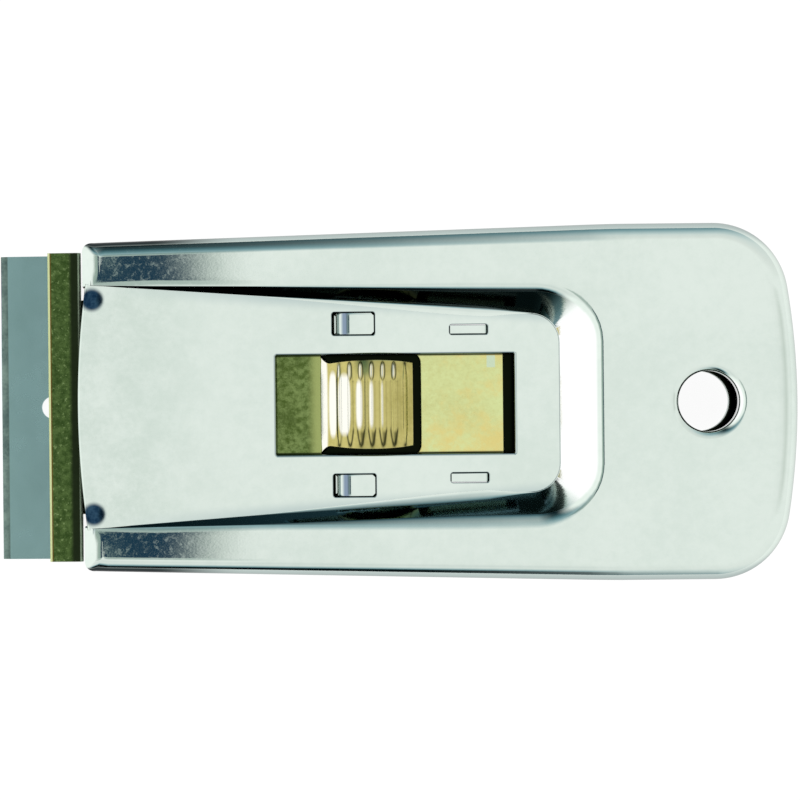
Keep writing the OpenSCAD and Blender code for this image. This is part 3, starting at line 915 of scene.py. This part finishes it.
def buildBlade():
    bm = bmesh.new()
    start, half, depth, corner = blade["bevel"], blade["half"], blade["depth"], blade["corner"]
    outline = [{"x": start, "y": y} for y in (-half, half)] + [
        {"x": depth - corner, "y": half}, {"x": depth, "y": half - corner},
        {"x": depth, "y": corner - half}, {"x": depth - corner, "y": -half},
    ]
    hole = arc(blade["holeSet"], 0, blade["holeR"], 0, 360, 48)[:-1]
    faces = fill(bm, addRing(bm, {}, outline) + addRing(bm, {}, hole))
    made = bmesh.ops.extrude_face_region(bm, geom=only(faces, bmesh.types.BMFace))["geom"]
    bmesh.ops.translate(bm, verts=only(made, bmesh.types.BMVert), vec=(0, 0, blade["thick"] * mm))
    bmesh.ops.recalc_face_normals(bm, faces=bm.faces)
    front = [f for f in bm.faces if f.normal.x < -0.9 and f.calc_center_median().x < (start + 0.01) * mm]
    made = bmesh.ops.extrude_discrete_faces(bm, faces=front)["faces"]
    for vert in {v for f in made for v in f.verts}:
        vert.co.x = 0.0
        edge = blade["edgeHalf"] if vert.co.z > blade["thick"] / 2 * mm else -blade["edgeHalf"]
        vert.co.z = (blade["thick"] / 2 + edge) * mm
    seat = Matrix.Translation(Vector((-channelRun - blade["out"], 0, (channel["height"] - blade["thick"]) / 2)) * mm)
    bmesh.ops.transform(bm, matrix=frontTurn @ seat, verts=bm.verts)
    return bm


# finishes of the pieces

platedLook = {
    "metallic": 1.0, "edgeTint": 0.7, "dark": (0.67, 0.765, 0.7), "light": (0.745, 0.83, 0.767),
    "worn": (0.8, 0.86, 0.82), "wearRadius": 0.00012, "size": 60.0, "fineSize": 700.0, "low": 0.3, "high": 0.66,
    "rough": (0.035, 0.06), "grainRough": 0.02, "across": (3000, 5200, 3000), "grainDepth": 0.0000014,
    "waveSize": 45.0, "waveDepth": 0.00003,
}
trayLook = {**platedLook, "dark": (0.5, 0.58, 0.54), "light": (0.66, 0.74, 0.7), "rough": (0.14, 0.22)}
brassLook = {
    **platedLook, "edgeTint": 1.0, "dark": (0.44, 0.39, 0.12), "light": (0.58, 0.52, 0.19), "worn": (0.75, 0.7, 0.36),
    "size": 180.0, "fineSize": 1600.0, "high": 0.65, "rough": (0.12, 0.2), "grainRough": 0.04,
    "across": (400, 6000, 400), "grainDepth": 0.000002, "waveSize": 120.0,
}
plateLook = {**brassLook, "dark": (0.62, 0.63, 0.27), "light": (0.68, 0.76, 0.36), "size": 150.0, "rough": (0.16, 0.26)}
channelLook = {
    "metallic": 0.85, "edgeTint": 1.0, "dark": (0.035, 0.075, 0.013), "light": (0.1, 0.165, 0.045),
    "worn": (0.3, 0.36, 0.16), "wearRadius": 0.0001, "size": 1400.0, "fineSize": 5200.0, "low": 0.36, "high": 0.66,
    "rough": (0.4, 0.55), "grainRough": 0.1, "across": (3000, 3000, 3000), "grainDepth": 0.000008,
    "waveSize": 200.0, "waveDepth": 0.00004,
}
bladeLook = {
    "metallic": 1.0, "edgeTint": 1.0, "dark": (0.28, 0.44, 0.44), "light": (0.34, 0.51, 0.505),
    "worn": (0.5, 0.62, 0.62), "wearRadius": 0.00006, "size": 50.0, "fineSize": 300.0, "low": 0.25, "high": 0.7,
    "rough": (0.2, 0.27), "grainRough": 0.05, "across": (250, 250, 9000), "grainDepth": 0.000002,
    "waveSize": 50.0, "waveDepth": 0.00003,
}
paint = {
    "skirtShade": (0.46, 0.54, 0.52), "noseSkirtShade": (0.012, 0.02, 0.022), "rearWallSheen": (0.93, 0.94, 0.935),
    "lowerWallShade": (0.11, 0.21, 0.24), "upperWallShade": (0.005, 0.012, 0.01), "insideShade": (0.004, 0.006, 0.003),
    "ribLineShade": (0.03, 0.032, 0.01), "ribFrontHighlight": (0.95, 0.94, 0.86), "earBendReflection": (0.22, 0.29, 0.38),
    "panelCloud": (0.62, 0.72, 0.65), "wallFootShade": (0.52, 0.62, 0.6), "panelEdgeShade": (0.4, 0.47, 0.47),
    "dent": ((0.006, 0.026, 0.06), (0.03, 0.075, 0.125)), "bevel": ((0.1, 0.155, 0.145), (0.23, 0.32, 0.28)),
    "plateWarm": (0.74, 0.64, 0.24), "plateReflectionSpot": (0.6, 0.72, 0.52), "bendSheen": (0.34, 0.4, 0.14),
    "tarnishAndShade": ((0.075, 0.12, 0.024), (0.22, 0.3, 0.1)), "tarnishShadePatch": (0.07, 0.11, 0.025),
    "windowEdgeShadow": (0.01, 0.016, 0.005), "speck": (0.26, 0.36, 0.14), "brownLine": (0.16, 0.09, 0.015),
    "frontEdgeHighlight": (0.75, 0.8, 0.42), "foldReflection": (0.012, 0.022, 0.006), "fold": (0.42, 0.52, 0.38),
}


def caseShadeAndSheen(tree, colour, rough):
    # painted shade: the steep outer skirt is darkened, and near the nose made near black
    away, toward = sideways(tree)
    skirtShade = times(tree, away, facing(tree, "Z", 0.86, 0.74))
    noseShade = times(tree, skirtShade, times(tree, alongX(tree, -57.0, -69.0), facing(tree, "Z", 0.02, 0.15)))
    # painted shade: the side walls of the recess are darkened, the one at y > 0 most
    wall = times(tree, toward, facing(tree, "Z", 0.84, 0.7), alongX(tree, -12.5, -15.0))
    wallShade = mixColour(tree, along(tree, "Y", -1.0, 1.0), paint["lowerWallShade"], paint["upperWallShade"])
    # painted highlight: the rear wall of the recess is made near white
    rearWallSheen = times(tree, facing(tree, "X", -0.45, -0.62), alongX(tree, -22.5, -20.5))
    colour = coats(
        tree, colour, (skirtShade, paint["skirtShade"]), (noseShade, paint["noseSkirtShade"]),
        (wall, wallShade), (rearWallSheen, paint["rearWallSheen"]),
    )
    # matt specks on the bands near the nose
    specks = times(tree, mottled(tree, 1500.0, 4600.0, 0.49, 0.64), alongX(tree, -58.0, -64.0))
    return colour, compute(tree, "MULTIPLY_ADD", specks, 0.075, rough)  # how much rougher a speck is


def trayInsideShade(tree, colour, rough):
    # painted shade: the inner side of the floor is made near black
    inside = times(tree, along(tree, "Z", 0.6, 0.8), facing(tree, "Z", 0.2, 0.5))
    return mixColour(tree, inside, colour, paint["insideShade"]), rough


def ribShadeAndHighlight(tree, colour, rough):
    # painted shade along the borders of the ribs and painted highlights on their fronts, from the attributes of the
    # mesh
    line, front = (add(tree, "Attribute", {}, attribute_name=name).outputs["Fac"] for name in ("grooveShade", "frontHighlight"))
    return coats(tree, colour, (times(tree, line, 0.95), paint["ribLineShade"]), (front, paint["ribFrontHighlight"])), rough


def earReflection(tree, colour, rough):
    # painted reflection: a blue-grey stripe across the bend of the wide ears
    return mixColour(tree, within(tree, "X", -45.0, -44.2, 0.25), colour, paint["earBendReflection"]), rough


def panelCloudsAndLight(tree, colour, rough):
    # pale clouds in front, painted shade as a bluish haze beside the side walls and on the rounded edge, and painted
    # dark blue reflections in the dents
    clouds = times(tree, mottled(tree, 220.0, 1300.0, 0.34, 0.68), alongX(tree, -57.0, -72.0))
    place = objectCoords(tree)
    taper = (panel["frontHalf"] - panel["rearHalf"]) / (panel["rearX"] - panel["frontX"])
    aside = compute(tree, "ABSOLUTE", part(tree, place, "Y"))
    line = compute(tree, "MULTIPLY_ADD", part(tree, place, "X"), taper, aside)
    # painted shade: a bluish darkening along the foot of the side walls
    haze = times(tree, spread(tree, line, 8.2 * mm, 10.0 * mm), alongX(tree, -80.0, -50.0))
    # painted shade: the tilted faces of the panel's rounded edges are darker
    edge = times(tree, facing(tree, "Z", 0.985, 0.9), alongX(tree, -76.6, -75.5))
    # painted reflection: the dents are coloured dark blue
    navy = mixColour(tree, mottled(tree, 900.0, 3000.0, 0.36, 0.62), *paint["dent"])
    dentX, dentY = panel["dent"]
    dentReflections = [
        (nearPoint(tree, (dentX, y, panel["z"]), panel["dentR"] * 0.66, panel["dentR"] * 1.12), navy)
        for y in (dentY, -dentY)
    ]
    layers = [(clouds, paint["panelCloud"]), (haze, paint["wallFootShade"]), (edge, paint["panelEdgeShade"])]
    return coats(tree, colour, *layers, *dentReflections), rough


def plateTarnishAndLight(tree, colour, rough):
    # warm and pale clouds on the rear of the plate, and in front of the tab a dark mottled tarnish darkened further as
    # a painted dark reflection
    # painted reflection: a small pale spot on the rear plate
    reflectionSpot = times(tree, within(tree, "X", -26.9, -25.85, 0.08), within(tree, "Y", 4.5, 6.0, 0.08))
    warm = mottled(tree, 190.0, 420.0, 0.44, 0.62)
    colour = coats(tree, colour, (warm, paint["plateWarm"]), (reflectionSpot, paint["plateReflectionSpot"]))
    dark = coats(
        tree, mixColour(tree, mottled(tree, 1500.0, 5000.0, 0.36, 0.64), *paint["tarnishAndShade"]),
        (mottled(tree, 330.0, 1300.0, 0.46, 0.7), paint["tarnishShadePatch"]),
        # painted sheen: the plate is lighter just in front of the tab's root
        (alongX(tree, -49.6, -48.1), paint["bendSheen"]),
    )
    colour = mixColour(tree, alongX(tree, -47.4, -46.9), dark, colour)
    # painted shadow: the plate is near black wherever it lies more than 6 mm to the side, as under the window's edges
    return mixColour(tree, within(tree, "Y", -6.0, 6.05, 0.12), paint["windowEdgeShadow"], colour), rough


def foldSpecksAndLight(tree, colour, rough):
    # light specks, a painted highlight on the front edge with a brown line behind it, a painted dark reflection before
    # the fold and a painted highlight on the fold
    specks = mottled(tree, 2200.0, 6500.0, 0.55, 0.66)
    lines = [
        (-81.45, -81.65, "brownLine"), (-81.66, -81.72, "frontEdgeHighlight"), (-79.5, -78.85, "foldReflection"),
        (-78.2, -78.02, "fold"),
    ]
    layers = [(alongX(tree, start, end), paint[name]) for start, end, name in lines]
    return coats(tree, colour, (specks, paint["speck"]), *layers), rough


def bladeGrind(tree, colour, rough):
    # the ground bevel is darker than the flat and streaked
    bevel = mixColour(tree, mottled(tree, 400.0, 2600.0, 0.35, 0.66), *paint["bevel"])
    return mixColour(tree, alongX(tree, -87.2, -87.05), bevel, colour), rough


platedSteel = metal("platedSteel", platedLook, caseShadeAndSheen)
panelSteel = metal("panelSteel", platedLook, panelCloudsAndLight)
traySteel = metal("traySteel", trayLook, trayInsideShade)
earSteel = metal("earSteel", platedLook, earReflection)
tabBrass = metal("tabBrass", brassLook, ribShadeAndHighlight)
plateBrass = metal("plateBrass", plateLook, plateTarnishAndLight)
channelBrass = metal("channelBrass", channelLook, foldSpecksAndLight)
bladeSteel = metal("bladeSteel", bladeLook, bladeGrind)
print("materials made")

upperCase = ("case", "plated_steel", ["upper_case"])
lowerCase = ("case", "plated_steel_base", ["lower_case"])
traySheet = {"sheet": tray["sheet"], "edgeRound": 0.06}
makePiece(buildShell(), "caseShell", platedSteel, *upperCase, sheet=case["sheet"], edgeRound=0.06)
makePiece(buildPanel(), "casePanel", panelSteel, *upperCase, sharpAt=60, crease=True)
makePiece(buildTray(), "lowerTray", traySteel, *lowerCase, **traySheet, crease=True)
makePiece(buildEars(), "wideEars", earSteel, *lowerCase, **traySheet)
makePiece(buildNarrowEars(), "narrowEars", earSteel, *lowerCase, edgeRound=0.05)
makePiece(buildCarriage(), "carriagePlate", plateBrass, "carriage", "brass", ["carriage"], sharpAt=60)
makePiece(
    buildTab(), "thumbTab", tabBrass, "carriage", "brass", ["thumb_tab"], sheet=tab["sheet"], edgeRound=0.1,
)
makePiece(
    buildChannel(), "bladeChannel", channelBrass, "carriage", "dull_brass", ["blade_channel"],
    sheet=channel["sheet"], edgeRound=0.05,
)
makePiece(buildBlade(), "razorBlade", bladeSteel, "blade", "blade_steel", ["blade"])


# floor, studio and camera

studio = {
    "worldLevel": 1.0, "floorGlow": 0.92, "floorColour": 0.15, "domeR": 4.0, "domeX": -0.038,
    "bright": 1.12, "brightTurn": (25, 33), "floorHalf": 3.0,
}
white, navy, greyGreen, haze = (1, 1, 1), (0.012, 0.045, 0.085), (0.42, 0.5, 0.46), (0.52, 0.59, 0.57)
slate = (0.4, 0.9, 1.1)
# what a level mirror sees across the object: turn in degrees and level, at the nose and at the rear
noseSide = [
    (-90, 0.02), (-70, 0.0), (-66, 0.25), (-61, 0.55), (-55, 0.8), (-48, 0.93), (-38, 0.87), (-25, 0.97),
    (8, 1.0), (20, 0.55), (31, 0.35), (45, 0.17), (58, 0.06), (74, 0.03), (90, 0.03),
]
rearSide = [
    (-90, 0.5), (-77, 0.68), (-65, 0.82), (-48, 0.95), (-20, 1.0), (14, 1.0), (25, 0.9), (42, 0.84),
    (54, 0.7), (72, 0.45), (90, 0.33),
]
# and along it, from the rear (-90) to the front (90): in the middle and beside it
lengthwise = [
    (-90, white), (-72, white), (-56, (0.78, 0.8, 0.78)), (-36, (0.96, 0.96, 0.96)), (-10, white), (13.6, white),
    (14.8, (0.62, 0.66, 0.64)), (15.8, navy), (18.4, navy), (18.9, (0.36, 0.45, 0.42)),
    (24, greyGreen), (30, white), (90, white),
]
beside = [(-90, white), (12.8, white), (15.5, haze), (20, haze), (30, white), (90, white)]
view = {"x": -37.8, "y": 0.51, "height": 205.0, "lens": 72.45, "roll": -0.58}


def shade(level):
    # darker levels of the side wall turn from neutral to slate
    share = between(level, 0.9, 0.2)
    return tuple(level * (1 + (tint - 1) * share) for tint in slate)


def ramp(tree, turn, stops):
    share = spread(tree, turn, -math.pi / 2, math.pi / 2, kind="LINEAR")
    node = add(tree, "ValToRGB", {"Fac": share})
    elements = node.color_ramp.elements
    while len(elements) < len(stops):
        elements.new(0.5)
    for element, (angle, colour) in zip(elements, stops):
        element.position = (angle + 90) / 180
        element.color = (*(colour if isinstance(colour, tuple) else shade(colour)), 1)
    return node.outputs["Color"]


def makeDome():
    # a half sphere that only reflections see, whose light depends on the direction
    bm = bmesh.new()
    bmesh.ops.create_uvsphere(bm, u_segments=96, v_segments=48, radius=studio["domeR"])
    bmesh.ops.delete(bm, geom=[face for face in bm.faces if face.calc_center_median().z < 0], context="FACES")
    material, tree = newMaterial("domeGlow")
    material.cycles.emission_sampling = "NONE"
    dome = makeObject(bm, "dome", material)
    dome.location.x = studio["domeX"]
    dome.visible_camera = dome.visible_diffuse = dome.visible_shadow = dome.visible_transmission = False
    direction = add(tree, "VectorMath", {0: objectCoords(tree)}, operation="NORMALIZE").outputs[0]
    x, y = part(tree, direction, "X"), part(tree, direction, "Y")
    toFront, aside = times(tree, x, -1.0), compute(tree, "ABSOLUTE", y)
    turnAside, turnFront = compute(tree, "ARCSINE", y), compute(tree, "ARCSINE", toFront)
    toRear = spread(tree, compute(tree, "MULTIPLY_ADD", y, 0.1, x), -0.2, 0.2)
    sides = mixColour(tree, toRear, ramp(tree, turnAside, noseSide), ramp(tree, turnAside, rearSide))
    sides = mixColour(tree, spread(tree, toFront, 0.3, 0.6), sides, white)
    outer, far = spread(tree, aside, 0.12, 0.17), spread(tree, aside, 0.3, 0.4)
    run = mixColour(tree, outer, ramp(tree, turnFront, lengthwise), ramp(tree, turnFront, beside))
    run = mixColour(tree, far, run, white)
    level = spread(tree, turnFront, *map(math.radians, studio["brightTurn"]), 1, studio["bright"])
    glow = add(tree, "Emission", {"Color": mixColour(tree, 1.0, sides, run, "MULTIPLY"), "Strength": level})
    tree.nodes.remove(tree.nodes["Principled BSDF"])
    feed(tree, tree.nodes["Material Output"].inputs["Surface"], glow.outputs[0])


makeDome()

bm = bmesh.new()
bmesh.ops.create_grid(bm, x_segments=1, y_segments=1, size=studio["floorHalf"])
floorMaterial, tree = newMaterial("paleFloor")
feedAll(tree, tree.nodes["Principled BSDF"], {
    "Base Color": [studio["floorColour"]] * 3, "Roughness": 0.9, "Specular IOR Level": 0.0,
    "Emission Color": white, "Emission Strength": studio["floorGlow"],
})
makeObject(bm, "floor", floorMaterial)

world = bpy.data.worlds.new("studio")
bpy.context.scene.world = world
world.use_nodes = True
background = world.node_tree.nodes["Background"]
feedAll(world.node_tree, background, {"Color": white, "Strength": studio["worldLevel"]})

cameraData = bpy.data.cameras.new("camera")
cameraData.lens = view["lens"]
cameraData.clip_start, cameraData.clip_end = 0.005, 20
camera = bpy.data.objects.new("camera", cameraData)
bpy.context.scene.collection.objects.link(camera)
camera.location = Vector((view["x"], view["y"], view["height"])) * mm
camera.rotation_euler = (0, 0, math.radians(view["roll"]))
bpy.context.scene.camera = camera
bpy.context.scene.view_settings.view_transform = "Standard"
print("studio and camera made")
